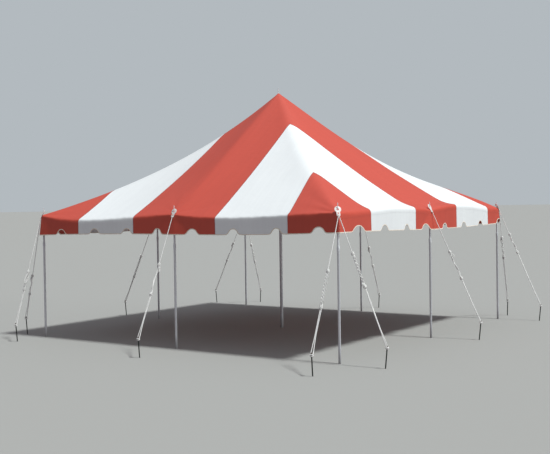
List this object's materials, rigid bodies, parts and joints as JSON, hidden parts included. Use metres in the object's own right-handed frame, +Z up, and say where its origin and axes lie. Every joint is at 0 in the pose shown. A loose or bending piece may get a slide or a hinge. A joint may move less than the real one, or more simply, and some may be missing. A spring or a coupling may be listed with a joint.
{
  "type": "marquee tent",
  "caption": "Square pole marquee: a pointed striped canopy with a notched valance over a centre pole and side poles, held by guy ropes to ground stakes.",
  "frame": {"origin": "on the ground at the foot of the centre pole, the middle of the square of side poles", "axes": "+Z up; the front side faces -Y and the right side faces +X"},
  "size_m": [8.0058, 8.0353, 4.479],
  "materials": {
    "canopy_red": "red PVC-coated polyester, satin",
    "canopy_white": "white PVC-coated polyester, satin",
    "tab_white": "white reinforced vinyl, matt",
    "pole_steel": "galvanised tube, dull",
    "rope_white": "white braided rope",
    "stake_paint": "dark green paint on steel rod"
  },
  "bodies": {
    "root": {"centre_pole": "pole_steel", "pole_front_left": "pole_steel", "pole_front_middle": "pole_steel", "pole_front_right": "pole_steel", "pole_right_middle": "pole_steel", "pole_back_right": "pole_steel", "pole_back_middle": "pole_steel", "pole_back_left": "pole_steel", "pole_left_middle": "pole_steel", "roof_front": "canopy_red", "roof_right": "canopy_red", "roof_back": "canopy_red", "roof_left": "canopy_red", "valance_front": "canopy_white", "valance_right": "canopy_white", "valance_back": "canopy_white", "valance_left": "canopy_white", "tab_front_left": "tab_white", "tab_front_middle": "tab_white", "tab_front_right": "tab_white", "tab_right_middle": "tab_white", "tab_back_right": "tab_white", "tab_back_middle": "tab_white", "tab_back_left": "tab_white", "tab_left_middle": "tab_white", "rope_front_left_front": "rope_white", "rope_front_middle": "rope_white", "rope_front_right_front": "rope_white", "rope_front_right_right": "rope_white", "rope_right_middle": "rope_white", "rope_back_right_right": "rope_white", "rope_back_right_back": "rope_white", "rope_back_middle": "rope_white", "rope_back_left_back": "rope_white", "rope_back_left_left": "rope_white", "rope_left_middle": "rope_white", "rope_front_left_left": "rope_white", "stake_front_left_front": "stake_paint", "stake_front_middle": "stake_paint", "stake_front_right_front": "stake_paint", "stake_front_right_right": "stake_paint", "stake_right_middle": "stake_paint", "stake_back_right_right": "stake_paint", "stake_back_right_back": "stake_paint", "stake_back_middle": "stake_paint", "stake_back_left_back": "stake_paint", "stake_back_left_left": "stake_paint", "stake_left_middle": "stake_paint", "stake_front_left_left": "stake_paint"}
  },
  "joints": []
}
